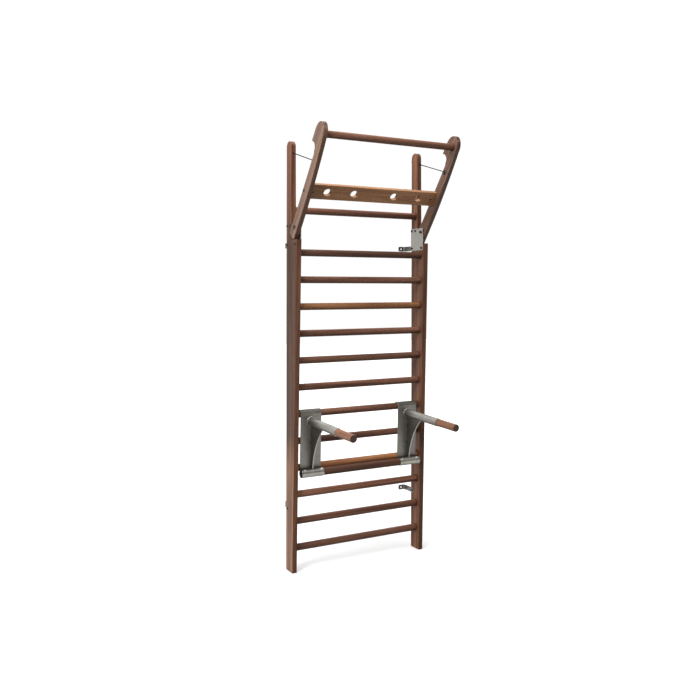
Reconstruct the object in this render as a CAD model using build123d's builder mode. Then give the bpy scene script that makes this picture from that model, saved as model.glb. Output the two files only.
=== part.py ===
"""Wooden wall bars with a fold-out chin-up unit and a hook-on dip station.

Frame: millimetres, +Z up, X along the rungs, +Y towards the wall, so the user stands on the -Y side.
The pieces are drawn with heights from the floor and saved with the origin in the wall plane, at the
middle of the four wall holes.
"""

from build123d import *
from math import asin, atan2, cos, radians, sin, sqrt
import os

os.makedirs("parts", exist_ok=True)

# ---------------------------------------------------------------- driving dimensions
OVERALL_WIDTH = 750.0
BOARD_THICKNESS = 25.0  # thickness of the uprights
WALL_GAP = 68.0  # from the wall to the rear edge of the uprights
FOOT_DEPTH = 73.0  # depth of an upright at the floor
FRONT_SLOPE = 0.0337  # the front edge comes forward by this much for each unit of height
EDGE_ROUND = 2.0  # softened edge of the planed timber

RUNG_RADIUS = 17.0
DIP_BAR_RADIUS = 18.0  # wooden bars of the dip station
RUNG_PITCH = 130.0
FIRST_RUNG_Z = 111.0
REGULAR_RUNGS = 12
TOP_RUNG_Z = 1748.0
TOP_RUNG_Y = -WALL_GAP - 38.0
RUNG_SETBACK = 40.0  # rung axis behind the front edge of the uprights
SOCKET_DEPTH = 14.0
GLUE_GAP = 0.05

POST_TOP_Z = 2081.2
POST_TOP_RADIUS = 27.5
POST_REAR_LEAN = 8.0  # the rear edge leans forward by this much at the top
POST_FRONT_TOP_Y = -WALL_GAP - 63.0
POST_FRONT_FOOT_Y = -WALL_GAP - 65.5

PIVOT_Y = -WALL_GAP - 98.8
PIVOT_Z = 1662.25
TILT = 37.5  # degrees that the chin-up unit leans out at its stop

ARM_INNER = 352.3  # x of the inner face of an arm
ARM_REAR = 29.0  # rear edge of an arm behind the pivot, measured with the unit folded
ARM_FRONT = 30.5
ARM_FOOT = 59.0  # end of an arm below the pivot: square behind it, round in front of it
RUN_GAP = 0.4  # clearance beside a moving piece
FOOT_SWEEP_GAP = 0.8  # between the foot's rear corner and the hollow it swings in

HEAD_CENTRE = (38.0, 477.0)  # in the folded arm's own plane: rearward, upward from the pivot
HEAD_RADII = (44.5, 57.0)
NOTCH_GAP = 2.0  # around the top of the post when the unit is folded
NOTCH_END_ANGLE = 61.0  # degrees above the rearward direction at which the hooked lip ends
LIP_CORNER = (82.4, 416.4)
CHIN_BAR = (27.0, 482.5)

DRILLED_BOARD_HEIGHT = 78.0
DRILLED_BOARD_THICKNESS = 20.0
DRILLED_BOARD_CENTRE = (15.0, 194.8)
STRAP_HOLE_RADIUS = 19.0
STRAP_HOLES_X = (-256.0, -112.0, 112.0, 256.0)
BOARD_BOLT_T = 193.0
BARREL_NUT_X = 330.0

PIVOT_SHANK = 5.0
PIVOT_RUNNING_GAP = 0.05
BUSH_OUTER = 7.0
PLATE_THICKNESS = 3.0
PLATE_Y = (-WALL_GAP - 117.5, -WALL_GAP - 6.0)
PLATE_Z = (1568.0, 1683.0)

BRACKET_WIDTH = 25.0
BRACKET_Z = (300.0, 1580.0)
BRACKET_BEND = 9.0
BRACKET_END_X = 315.0
WALL_HOLE_X = 331.0
WALL_HOLE_RADIUS = 4.5
CONNECTOR_Y = -WALL_GAP - 15.0
CONNECTORS = (  # y and z of the connector bolts of one upright
    (CONNECTOR_Y, BRACKET_Z[0]),
    (CONNECTOR_Y, BRACKET_Z[1]),
    (-WALL_GAP - 103.0, BRACKET_Z[1]),
    (CONNECTOR_Y, 1672.0),
    (-WALL_GAP - 47.0, 1671.0),
)
CONNECTOR_HOLE = 4.1
CONNECTOR_HEAD = 6.5

WIRE_RADIUS = 2.5
WIRE_POST_Z = 2020.6  # height at which the stay wire leaves the post's front edge
WIRE_REAR_Y = -60.0  # its rear end, in the ferrule behind the post
WIRE_ANCHOR = (10.0, 351.5)  # end of the stay wire inside the barrel in the arm
ANCHOR_CENTRE = (10.0, 349.0)
ANCHOR_RADIUS = 13.2
ANCHOR_DEPTH = 16.0

DIP_RUNG = 5  # the regular rung, counted from 0 at the floor, that carries the dip station
TUBE_RADIUS = 20.0
TUBE_WALL = 1.9
HOOK_THICKNESS = 3.5
HOOK_WIDTH = 112.0
HOOK_PLATE_FOOT = -298.0
HANDLE_X = 276.5
HANDLE_DROP = -36.0
TUBE_END = -301.0
GRIP_END = -447.0
SLEEVE_Z = -282.0
SLEEVE_X = (219.5, 336.5)
CROSSBAR_END = 326.0
GUSSET_THICKNESS = 4.0
SLEEVE_SCREWS_X = (232.0, 319.0)
SLEEVE_SCREW_ANGLE = 37.0

# ---------------------------------------------------------------- derived places
OUTER = OVERALL_WIDTH / 2
INNER = OUTER - BOARD_THICKNESS
ARM_THICKNESS = OUTER - ARM_INNER
MID_ARM = (OUTER + ARM_INNER) / 2
ORIGIN_HEIGHT = sum(BRACKET_Z) / 2
SHELF_Z = PIVOT_Z - ARM_FOOT - 0.6
SIDES = ((-1, "left"), (1, "right"))
C_TILT, S_TILT = cos(radians(TILT)), sin(radians(TILT))


def front_edge_y(z):
    """Front edge of an upright at height z."""
    return -WALL_GAP - FOOT_DEPTH - FRONT_SLOPE * z


def rung_y(z):
    """Axis of a regular rung at height z."""
    return front_edge_y(z) + RUNG_SETBACK


def slab_start(side, near, far):
    """The x at which a slab between distances near and far from the middle starts."""
    return near if side > 0 else -far


def arm_plane(x):
    """Side view of the chin-up unit: rearward and upward from the pivot, tilted out as it stands."""
    return Plane(origin=(x, PIVOT_Y, PIVOT_Z), x_dir=(0, C_TILT, S_TILT), z_dir=(1, 0, 0))


def arm_point(rear, up, x=0.0):
    """A point of the chin-up unit in the row frame."""
    return Vector(x, PIVOT_Y + rear * C_TILT - up * S_TILT, PIVOT_Z + rear * S_TILT + up * C_TILT)


def save(builder, label):
    """Label a finished piece, set it down on the saved frame and write its STEP file."""
    piece = builder.part.moved(Location((0, 0, -ORIGIN_HEIGHT)))
    piece.label = label
    export_step(piece, f"parts/{label}.step")


regular_z = [FIRST_RUNG_Z + RUNG_PITCH * i for i in range(REGULAR_RUNGS)]
rungs = [(rung_y(z), z) for z in regular_z] + [(TOP_RUNG_Y, TOP_RUNG_Z)]

# the foot of the tilted arm bears on a slanted seat, and swings inside a round hollow below it
sweep_radius = sqrt(ARM_REAR**2 + ARM_FOOT**2) + FOOT_SWEEP_GAP
seat_offset = ARM_REAR + RUN_GAP
seat_foot = arm_point(seat_offset, -sqrt(sweep_radius**2 - seat_offset**2))
seat_top_t = (PIVOT_Y + seat_offset * C_TILT - POST_FRONT_FOOT_Y) / S_TILT
seat_top = arm_point(seat_offset, seat_top_t)
shelf_drop = PIVOT_Z - SHELF_Z
shelf_rear_y = PIVOT_Y + sqrt(sweep_radius**2 - shelf_drop**2)
hollow_angle = (atan2(seat_foot.Y - PIVOT_Y, PIVOT_Z - seat_foot.Z) + atan2(shelf_rear_y - PIVOT_Y, shelf_drop)) / 2
hollow_mid = (PIVOT_Y + sweep_radius * sin(hollow_angle), PIVOT_Z - sweep_radius * cos(hollow_angle))
post_arc_z = POST_TOP_Z - POST_TOP_RADIUS
post_rear_top_y = -WALL_GAP - POST_REAR_LEAN

# stay wire: straight from behind the post, through it, to the barrel in the arm
wire_end = arm_point(*WIRE_ANCHOR)
wire_slope = (WIRE_POST_Z - wire_end.Z) / (POST_FRONT_TOP_Y - wire_end.Y)
wire_angle = atan2(wire_slope, 1.0)
wire_rear_z = WIRE_POST_Z + wire_slope * (WIRE_REAR_Y - POST_FRONT_TOP_Y)
wire_length = sqrt((WIRE_REAR_Y - wire_end.Y) ** 2 + (wire_rear_z - wire_end.Z) ** 2)


def wire_plane(x, y):
    """Plane square to the stay wire at depth y, facing the arm."""
    z = WIRE_POST_Z + wire_slope * (y - POST_FRONT_TOP_Y)
    return Plane(origin=(x, y, z), x_dir=(1, 0, 0), z_dir=(0, -cos(wire_angle), -sin(wire_angle)))


# ---------------------------------------------------------------- uprights
for side, hand in SIDES:
    inward = Plane.YZ.offset(side * INNER)
    with BuildPart() as upright:
        with BuildSketch(Plane.YZ.offset(slab_start(side, INNER, OUTER))):
            with BuildLine():
                rear_foot = (-WALL_GAP, 0)
                rear_top = (post_rear_top_y, post_arc_z)
                front_top = (POST_FRONT_TOP_Y, post_arc_z)
                crown = ((post_rear_top_y + POST_FRONT_TOP_Y) / 2, POST_TOP_Z)
                Line(rear_foot, rear_top)
                ThreePointArc(rear_top, crown, front_top)
                Polyline(front_top, (seat_top.Y, seat_top.Z), (seat_foot.Y, seat_foot.Z))
                ThreePointArc((seat_foot.Y, seat_foot.Z), hollow_mid, (shelf_rear_y, SHELF_Z))
                Polyline(
                    (shelf_rear_y, SHELF_Z),
                    (front_edge_y(SHELF_Z), SHELF_Z),
                    (front_edge_y(0), 0),
                    rear_foot,
                )
            make_face()
        extrude(amount=BOARD_THICKNESS)
        fillet(upright.faces().filter_by(Axis.X).edges(), EDGE_ROUND)
        # blind sockets for the rungs
        with BuildSketch(inward):
            with Locations(*rungs):
                Circle(RUNG_RADIUS + GLUE_GAP)
        extrude(amount=side * SOCKET_DEPTH, mode=Mode.SUBTRACT)
        # shallow rebates for the wall brackets
        with BuildSketch(inward):
            for z in BRACKET_Z:
                with Locations((-WALL_GAP - 13.6, z)):
                    Rectangle(27.4, BRACKET_WIDTH + 0.2)
        extrude(amount=side * PLATE_THICKNESS, mode=Mode.SUBTRACT)
        # through holes for the connector bolts
        with BuildSketch(inward):
            with Locations(*CONNECTORS):
                Circle(CONNECTOR_HOLE)
        extrude(amount=side * BOARD_THICKNESS, mode=Mode.SUBTRACT)
        # passage of the stay wire, wider in front for its guide bush
        with BuildSketch(wire_plane(side * MID_ARM, -40)):
            Circle(WIRE_RADIUS + 1)
        extrude(amount=120, mode=Mode.SUBTRACT)
        with BuildSketch(wire_plane(side * MID_ARM, POST_FRONT_TOP_Y + 12)):
            Circle(5.05)
        extrude(amount=30, mode=Mode.SUBTRACT)
    save(upright, f"{hand}_upright")

# ---------------------------------------------------------------- rungs
for number, (y, z) in enumerate(rungs, start=1):
    with BuildPart() as rung:
        with BuildSketch(Plane.YZ.offset(-(INNER + SOCKET_DEPTH - 0.5))):
            with Locations((y, z)):
                Circle(RUNG_RADIUS)
        extrude(amount=2 * (INNER + SOCKET_DEPTH - 0.5))
        chamfer(rung.faces().filter_by(Axis.X).edges(), 1.0)
    save(rung, f"rung_{number:02d}")

# ---------------------------------------------------------------- hinge plates and wall brackets
for side, hand in SIDES:
    plate_inner = INNER - PLATE_THICKNESS
    with BuildPart() as hinge_plate:
        with BuildSketch(Plane.YZ.offset(slab_start(side, plate_inner, INNER))):
            with Locations((sum(PLATE_Y) / 2, sum(PLATE_Z) / 2)):
                RectangleRounded(PLATE_Y[1] - PLATE_Y[0], PLATE_Z[1] - PLATE_Z[0], 4)
            with Locations(*CONNECTORS[1:]):
                Circle(CONNECTOR_HOLE, mode=Mode.SUBTRACT)
            with Locations((PIVOT_Y, PIVOT_Z)):
                Circle(PIVOT_SHANK + 0.1, mode=Mode.SUBTRACT)
        extrude(amount=PLATE_THICKNESS)
        chamfer(hinge_plate.faces().filter_by(Axis.X).edges(), 0.4)
    save(hinge_plate, f"{hand}_hinge_plate")

    for z, level in zip(BRACKET_Z, ("lower", "upper")):
        outer_x, inner_x = side * (INNER + PLATE_THICKNESS), side * INNER
        with BuildPart() as bracket:
            with BuildSketch(Plane.XY.offset(z - BRACKET_WIDTH / 2)):
                with BuildLine():
                    FilletPolyline(
                        (outer_x, -WALL_GAP - 27),
                        (outer_x, 0),
                        (side * BRACKET_END_X, 0),
                        radius=BRACKET_BEND + PLATE_THICKNESS,
                    )
                    FilletPolyline(
                        (side * BRACKET_END_X, -PLATE_THICKNESS),
                        (inner_x, -PLATE_THICKNESS),
                        (inner_x, -WALL_GAP - 27),
                        radius=BRACKET_BEND,
                    )
                    Line((outer_x, -WALL_GAP - 27), (inner_x, -WALL_GAP - 27))
                    Line((side * BRACKET_END_X, 0), (side * BRACKET_END_X, -PLATE_THICKNESS))
                make_face()
            extrude(amount=BRACKET_WIDTH)
            free_end = bracket.faces().filter_by(Axis.X).sort_by(Axis.X)[0 if side > 0 else -1]
            fillet(free_end.edges().filter_by(Axis.Y), 7)
            bolted_end = bracket.faces().filter_by(Axis.Y).sort_by(Axis.Y)[0]
            fillet(bolted_end.edges().filter_by(Axis.X), BRACKET_WIDTH / 2 - 0.1)
            with BuildSketch(Plane.XZ):
                with Locations((side * WALL_HOLE_X, z)):
                    Circle(WALL_HOLE_RADIUS)
            extrude(amount=PLATE_THICKNESS, both=True, mode=Mode.SUBTRACT)
            with BuildSketch(Plane.YZ.offset(slab_start(side, INNER - 1, INNER + 4))):
                with Locations((CONNECTOR_Y, z)):
                    Circle(CONNECTOR_HOLE)
            extrude(amount=5, mode=Mode.SUBTRACT)
        save(bracket, f"{hand}_{level}_wall_bracket")

# ---------------------------------------------------------------- connector bolts and sleeve nuts
HEAD_HEIGHT = 2.0
CONNECTOR_SHANK = 3.0

with BuildPart() as frame_bolts:
    for side, hand in SIDES:
        for y, z in CONNECTORS:
            with BuildSketch(Plane.YZ.offset(side * OUTER)):
                with Locations((y, z)):
                    Circle(CONNECTOR_HEAD)
            extrude(amount=side * HEAD_HEIGHT)
            with BuildSketch(Plane.YZ.offset(side * OUTER)):
                with Locations((y, z)):
                    Circle(CONNECTOR_SHANK)
            extrude(amount=-side * 17)
            with BuildSketch(Plane.YZ.offset(side * (OUTER + HEAD_HEIGHT))):
                with Locations((y, z)):
                    RegularPolygon(2.9, 6)
            extrude(amount=-side * 1.5, mode=Mode.SUBTRACT)
    outer_faces = frame_bolts.faces().filter_by(Axis.X).group_by(Axis.X)
    rims = (outer_faces[0] + outer_faces[-1]).edges().filter_by(GeomType.CIRCLE)
    chamfer(rims, 0.6)
save(frame_bolts, "frame_bolts")

with BuildPart() as frame_nuts:
    for side, hand in SIDES:
        for y, z in CONNECTORS:
            seat = INNER if (y, z) == CONNECTORS[0] else INNER - PLATE_THICKNESS
            with BuildSketch(Plane.YZ.offset(side * seat)):
                with Locations((y, z)):
                    Circle(CONNECTOR_HEAD)
                    Circle(CONNECTOR_SHANK + GLUE_GAP, mode=Mode.SUBTRACT)
            extrude(amount=-side * HEAD_HEIGHT)
            with BuildSketch(Plane.YZ.offset(side * seat)):
                with Locations((y, z)):
                    Circle(CONNECTOR_HOLE - GLUE_GAP)
                    Circle(CONNECTOR_SHANK + GLUE_GAP, mode=Mode.SUBTRACT)
            extrude(amount=side * 18)
save(frame_nuts, "frame_nuts")

# ---------------------------------------------------------------- pivot hardware
WASHER_THICKNESS = 1.0
PIVOT_NUT_HEIGHT = 5.0

with BuildPart() as pivot_bolts:
    for side, hand in SIDES:
        with BuildSketch(Plane.YZ.offset(side * (OUTER + 0.3))):
            with Locations((PIVOT_Y, PIVOT_Z)):
                Circle(8)
        extrude(amount=side * 4)
        with BuildSketch(Plane.YZ.offset(side * (OUTER + 0.3))):
            with Locations((PIVOT_Y, PIVOT_Z)):
                Circle(PIVOT_SHANK)
        extrude(amount=-side * (BOARD_THICKNESS + PLATE_THICKNESS + PIVOT_NUT_HEIGHT + 2.3))
        with BuildSketch(Plane.YZ.offset(side * (OUTER + 4.3))):
            with Locations((PIVOT_Y, PIVOT_Z)):
                RegularPolygon(3.4, 6)
        extrude(amount=-side * 2.5, mode=Mode.SUBTRACT)
    head_faces = pivot_bolts.faces().filter_by(Axis.X).group_by(Axis.X)
    fillet((head_faces[0] + head_faces[-1]).edges().filter_by(GeomType.CIRCLE), 1.8)
save(pivot_bolts, "pivot_bolts")

with BuildPart() as pivot_nuts:
    for side, hand in SIDES:
        with BuildSketch(Plane.YZ.offset(side * (INNER - PLATE_THICKNESS))):
            with Locations((PIVOT_Y, PIVOT_Z)):
                RegularPolygon(7.6, 6)
                Circle(PIVOT_SHANK + GLUE_GAP, mode=Mode.SUBTRACT)
        extrude(amount=-side * PIVOT_NUT_HEIGHT)
save(pivot_nuts, "pivot_nuts")

with BuildPart() as pivot_washers:
    for side, hand in SIDES:
        with BuildSketch(Plane.YZ.offset(side * INNER)):
            with Locations((PIVOT_Y, PIVOT_Z)):
                Circle(13)
                Circle(PIVOT_SHANK + 0.1, mode=Mode.SUBTRACT)
        extrude(amount=side * WASHER_THICKNESS)
save(pivot_washers, "pivot_washers")

with BuildPart() as pivot_bushes:
    for side, hand in SIDES:
        with BuildSketch(Plane.YZ.offset(slab_start(side, ARM_INNER, OUTER))):
            with Locations((PIVOT_Y, PIVOT_Z)):
                Circle(BUSH_OUTER)
                Circle(PIVOT_SHANK + PIVOT_RUNNING_GAP, mode=Mode.SUBTRACT)
        extrude(amount=ARM_THICKNESS)
save(pivot_bushes, "pivot_bushes")

# ---------------------------------------------------------------- chin-up arms
KEEPER_SCREW = (2.0, -16.0)
notch_centre = ((post_rear_top_y + POST_FRONT_TOP_Y) / 2 - PIVOT_Y, post_arc_z - PIVOT_Z)
notch_radius = POST_TOP_RADIUS + NOTCH_GAP
notch_start = (notch_centre[0] - notch_radius, notch_centre[1])
head_rear_n = HEAD_CENTRE[0] + HEAD_RADII[0]
head_front_n = HEAD_CENTRE[0] - HEAD_RADII[0]
foot_corner = (-ARM_FRONT, -sqrt(ARM_FOOT**2 - ARM_FRONT**2))
foot_mid_angle = asin(ARM_FRONT / ARM_FOOT) / 2
foot_mid = (-ARM_FOOT * sin(foot_mid_angle), -ARM_FOOT * cos(foot_mid_angle))

for side, hand in SIDES:
    with BuildPart() as arm:
        with BuildSketch(arm_plane(slab_start(side, ARM_INNER, OUTER))):
            with BuildLine():
                Polyline((0, -ARM_FOOT), (ARM_REAR, -ARM_FOOT), (ARM_REAR, 378), notch_start)
                notch = CenterArc(notch_centre, notch_radius, 180, NOTCH_END_ANGLE - 180)
                Polyline(notch @ 1, LIP_CORNER, (head_rear_n, HEAD_CENTRE[1]))
                EllipticalCenterArc(HEAD_CENTRE, *HEAD_RADII, start_angle=0, arc_size=180)
                ThreePointArc((head_front_n, HEAD_CENTRE[1]), (-22.5, 300), (-ARM_FRONT, 100))
                Line((-ARM_FRONT, 100), foot_corner)
                ThreePointArc(foot_corner, foot_mid, (0, -ARM_FOOT))
            make_face()
        extrude(amount=ARM_THICKNESS)
        fillet(arm.faces().filter_by(Axis.X).edges(), EDGE_ROUND)
        with BuildSketch(arm_plane(side * ARM_INNER)):
            with Locations(CHIN_BAR):
                Circle(RUNG_RADIUS + GLUE_GAP)
        extrude(amount=side * SOCKET_DEPTH, mode=Mode.SUBTRACT)
        with BuildSketch(arm_plane(side * ARM_INNER)):
            with Locations(ANCHOR_CENTRE):
                Circle(ANCHOR_RADIUS + GLUE_GAP)
        extrude(amount=side * (ANCHOR_DEPTH + 0.5), mode=Mode.SUBTRACT)
        with BuildSketch(arm_plane(side * ARM_INNER)):
            Circle(BUSH_OUTER + GLUE_GAP)
            with Locations((DRILLED_BOARD_CENTRE[0], BOARD_BOLT_T)):
                Circle(CONNECTOR_SHANK + GLUE_GAP)
        extrude(amount=side * ARM_THICKNESS, mode=Mode.SUBTRACT)
        with BuildSketch(arm_plane(side * OUTER)):
            with Locations(KEEPER_SCREW):
                Circle(1.6)
        extrude(amount=-side * 15, mode=Mode.SUBTRACT)
        with BuildSketch(wire_plane(side * MID_ARM, wire_end.Y + 40)):
            Circle(WIRE_RADIUS + 1)
        extrude(amount=40, mode=Mode.SUBTRACT)
    save(arm, f"{hand}_chinup_arm")

with BuildPart() as keeper_screws:
    for side, hand in SIDES:
        with BuildSketch(arm_plane(side * OUTER)):
            with Locations(KEEPER_SCREW):
                Circle(3.2)
        extrude(amount=side * 1.2)
        with BuildSketch(arm_plane(side * OUTER)):
            with Locations(KEEPER_SCREW):
                Circle(1.55)
        extrude(amount=-side * 14)
save(keeper_screws, "bush_keeper_screws")

with BuildPart() as chin_bar:
    half = ARM_INNER + SOCKET_DEPTH - 0.5
    with BuildSketch(arm_plane(-half)):
        with Locations(CHIN_BAR):
            Circle(RUNG_RADIUS)
    extrude(amount=2 * half)
    chamfer(chin_bar.faces().filter_by(Axis.X).edges(), 1.0)
save(chin_bar, "chinup_bar")

# ---------------------------------------------------------------- drilled board
board_rear = DRILLED_BOARD_CENTRE[0] + DRILLED_BOARD_THICKNESS / 2
board_origin = arm_point(board_rear, DRILLED_BOARD_CENTRE[1])
board_face = Plane(origin=board_origin, x_dir=(1, 0, 0), z_dir=(0, -C_TILT, -S_TILT))
board_length = 2 * (ARM_INNER - GLUE_GAP)
bolt_height = BOARD_BOLT_T - DRILLED_BOARD_CENTRE[1]

with BuildPart() as drilled_board:
    with BuildSketch(board_face):
        Rectangle(board_length, DRILLED_BOARD_HEIGHT)
    extrude(amount=DRILLED_BOARD_THICKNESS)
    fillet(drilled_board.edges().filter_by(Axis.X), 2.5)
    with BuildSketch(board_face):
        with Locations(*[(x, 0) for x in STRAP_HOLES_X]):
            Circle(STRAP_HOLE_RADIUS)
    extrude(amount=DRILLED_BOARD_THICKNESS, mode=Mode.SUBTRACT)
    hole_rims = drilled_board.edges().filter_by(GeomType.CIRCLE)
    chamfer(hole_rims.filter_by(lambda e: abs(e.radius - STRAP_HOLE_RADIUS) < 0.01), 1.5)
    with BuildSketch(board_face.offset(2)):
        with Locations(*[(side * BARREL_NUT_X, bolt_height) for side, hand in SIDES]):
            Circle(5.05)
    extrude(amount=DRILLED_BOARD_THICKNESS, mode=Mode.SUBTRACT)
    for side, hand in SIDES:
        with BuildSketch(arm_plane(side * ARM_INNER)):
            with Locations((DRILLED_BOARD_CENTRE[0], BOARD_BOLT_T)):
                Circle(CONNECTOR_SHANK + GLUE_GAP)
        extrude(amount=-side * 32, mode=Mode.SUBTRACT)
save(drilled_board, "drilled_board")

with BuildPart() as barrel_nuts:
    with BuildSketch(board_face.offset(2.5)):
        with Locations(*[(side * BARREL_NUT_X, bolt_height) for side, hand in SIDES]):
            Circle(5)
    extrude(amount=DRILLED_BOARD_THICKNESS - 3)
    for side, hand in SIDES:
        with BuildSketch(arm_plane(side * ARM_INNER)):
            with Locations((DRILLED_BOARD_CENTRE[0], BOARD_BOLT_T)):
                Circle(CONNECTOR_SHANK + GLUE_GAP)
        extrude(amount=-side * 32, mode=Mode.SUBTRACT)
save(barrel_nuts, "board_barrel_nuts")

with BuildPart() as board_bolts:
    for side, hand in SIDES:
        with BuildSketch(arm_plane(side * OUTER)):
            with Locations((DRILLED_BOARD_CENTRE[0], BOARD_BOLT_T)):
                Circle(5.5)
        extrude(amount=side * HEAD_HEIGHT)
        with BuildSketch(arm_plane(side * OUTER)):
            with Locations((DRILLED_BOARD_CENTRE[0], BOARD_BOLT_T)):
                Circle(CONNECTOR_SHANK)
        extrude(amount=-side * (OUTER - BARREL_NUT_X + 7))
save(board_bolts, "board_bolts")

# ---------------------------------------------------------------- stay wires
FERRULE_LENGTH = 12.0

for side, hand in SIDES:
    x = side * MID_ARM
    with BuildPart() as wire:
        with BuildSketch(wire_plane(x, WIRE_REAR_Y)):
            Circle(WIRE_RADIUS)
        extrude(amount=wire_length)
    save(wire, f"{hand}_stay_wire")

    with BuildPart() as anchor:
        with BuildSketch(arm_plane(side * ARM_INNER)):
            with Locations(ANCHOR_CENTRE):
                Circle(ANCHOR_RADIUS)
        extrude(amount=side * ANCHOR_DEPTH)
        with BuildSketch(arm_plane(side * ARM_INNER)):
            with Locations(ANCHOR_CENTRE):
                RegularPolygon(4.6, 6)
        extrude(amount=side * 4, mode=Mode.SUBTRACT)
        with BuildSketch(wire_plane(x, wire_end.Y + 20)):
            Circle(WIRE_RADIUS + GLUE_GAP)
        extrude(amount=22, mode=Mode.SUBTRACT)
    save(anchor, f"{hand}_wire_anchor")

with BuildPart() as guide_bushes:
    for side, hand in SIDES:
        with BuildSketch(wire_plane(side * MID_ARM, POST_FRONT_TOP_Y + 11.5)):
            Circle(5)
            Circle(WIRE_RADIUS + 0.5, mode=Mode.SUBTRACT)
        extrude(amount=13)
save(guide_bushes, "wire_guide_bushes")

with BuildPart() as wire_ferrules:
    for side, hand in SIDES:
        with BuildSketch(wire_plane(side * MID_ARM, WIRE_REAR_Y)):
            Circle(4.5)
            Circle(WIRE_RADIUS + GLUE_GAP, mode=Mode.SUBTRACT)
        extrude(amount=FERRULE_LENGTH)
        with BuildSketch(wire_plane(side * MID_ARM, WIRE_REAR_Y - FERRULE_LENGTH + 0.1)):
            Circle(8)
            Circle(WIRE_RADIUS + GLUE_GAP, mode=Mode.SUBTRACT)
        extrude(amount=1.5)
save(wire_ferrules, "wire_ferrules")

# ---------------------------------------------------------------- dip station
# Its own frame stands on the axis of the rung that carries it and leans with the line of the rungs.
carrier_z = regular_z[DIP_RUNG]
carrier_y = rung_y(carrier_z)
lean = atan2(FRONT_SLOPE, 1.0)
C_LEAN, S_LEAN = cos(lean), sin(lean)
hook_inner = RUNG_RADIUS + RUN_GAP
hook_outer = hook_inner + HOOK_THICKNESS
sleeve_y = -hook_outer - TUBE_RADIUS - GLUE_GAP
tube_inner = TUBE_RADIUS - TUBE_WALL


def dip_side(x):
    """Side view of the dip station: rearward and upward from the axis of the rung it hangs on."""
    return Plane(origin=(x, carrier_y, carrier_z), x_dir=(0, C_LEAN, S_LEAN), z_dir=(1, 0, 0))


def dip_point(x, rear, up):
    """A point of the dip station in the row frame."""
    return Vector(x, carrier_y + rear * C_LEAN - up * S_LEAN, carrier_z + rear * S_LEAN + up * C_LEAN)


def dip_front(x, rear, up):
    """Plane facing the user, square to the dip station's plates."""
    return Plane(origin=dip_point(x, rear, up), x_dir=(1, 0, 0), z_dir=(0, -C_LEAN, -S_LEAN))


def sleeve_screw_plane(x):
    """Plane square to a sleeve screw, through the sleeve's axis."""
    angle = radians(SLEEVE_SCREW_ANGLE) + lean
    direction = (0, -sin(angle), cos(angle))
    return Plane(origin=dip_point(x, sleeve_y, SLEEVE_Z), x_dir=(1, 0, 0), z_dir=direction)


for side, hand in SIDES:
    with BuildPart() as hook_plate:
        with BuildSketch(dip_side(slab_start(side, HANDLE_X - HOOK_WIDTH / 2, HANDLE_X + HOOK_WIDTH / 2))):
            with BuildLine():
                Line((-hook_outer, HOOK_PLATE_FOOT), (-hook_outer, 0))
                ThreePointArc((-hook_outer, 0), (0, hook_outer), (hook_outer, 0))
                Polyline((hook_outer, 0), (hook_outer, -7), (hook_inner, -7), (hook_inner, 0))
                ThreePointArc((hook_inner, 0), (0, hook_inner), (-hook_inner, 0))
                Polyline((-hook_inner, 0), (-hook_inner, HOOK_PLATE_FOOT), (-hook_outer, HOOK_PLATE_FOOT))
            make_face()
        extrude(amount=HOOK_WIDTH)
        chamfer(hook_plate.faces().filter_by(Axis.X).edges(), 0.6)
    save(hook_plate, f"{hand}_hook_plate")

    with BuildPart() as gusset:
        with BuildSketch(dip_side(side * HANDLE_X - GUSSET_THICKNESS / 2)):
            with BuildLine():
                tube_bottom = HANDLE_DROP - TUBE_RADIUS
                sleeve_top = SLEEVE_Z + TUBE_RADIUS + GLUE_GAP
                Polyline(
                    (-46, sleeve_top),
                    (-hook_outer, sleeve_top),
                    (-hook_outer, tube_bottom),
                    (-147, tube_bottom),
                )
                ThreePointArc((-147, tube_bottom), (-74, -158), (-46, sleeve_top))
            make_face()
        extrude(amount=GUSSET_THICKNESS)
    save(gusset, f"{hand}_gusset")

    with BuildPart() as handle_tube:
        with BuildSketch(dip_front(side * HANDLE_X, -hook_outer, HANDLE_DROP)):
            Circle(TUBE_RADIUS)
            Circle(tube_inner, mode=Mode.SUBTRACT)
        extrude(amount=-TUBE_END - hook_outer)
        mouth = handle_tube.faces().sort_by(Axis.Y)[0]
        chamfer(mouth.edges(), 0.6)
        with BuildSketch(dip_front(side * HANDLE_X, TUBE_END + 25, HANDLE_DROP).rotated((90, 0, 0))):
            Circle(1.9)
        extrude(amount=TUBE_RADIUS + 2, mode=Mode.SUBTRACT)
    save(handle_tube, f"{hand}_handle_tube")

    with BuildPart() as grip:
        with BuildSketch(dip_front(side * HANDLE_X, -60, HANDLE_DROP)):
            Circle(DIP_BAR_RADIUS)
        extrude(amount=-GRIP_END - 60)
        fillet(grip.faces().sort_by(Axis.Y)[0].edges(), 2.5)
        with BuildSketch(dip_front(side * HANDLE_X, TUBE_END + 25, HANDLE_DROP).rotated((90, 0, 0))):
            Circle(1.9)
        extrude(amount=TUBE_RADIUS + 2, mode=Mode.SUBTRACT)
    save(grip, f"{hand}_grip")

    with BuildPart() as sleeve:
        with BuildSketch(dip_side(slab_start(side, *SLEEVE_X))):
            with Locations((sleeve_y, SLEEVE_Z)):
                Circle(TUBE_RADIUS)
                Circle(tube_inner, mode=Mode.SUBTRACT)
        extrude(amount=SLEEVE_X[1] - SLEEVE_X[0])
        chamfer(sleeve.faces().filter_by(Axis.X).edges(), 0.6)
        for x in SLEEVE_SCREWS_X:
            with BuildSketch(sleeve_screw_plane(side * x)):
                Circle(2.05)
            extrude(amount=TUBE_RADIUS + 2, mode=Mode.SUBTRACT)
    save(sleeve, f"{hand}_crossbar_sleeve")

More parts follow.
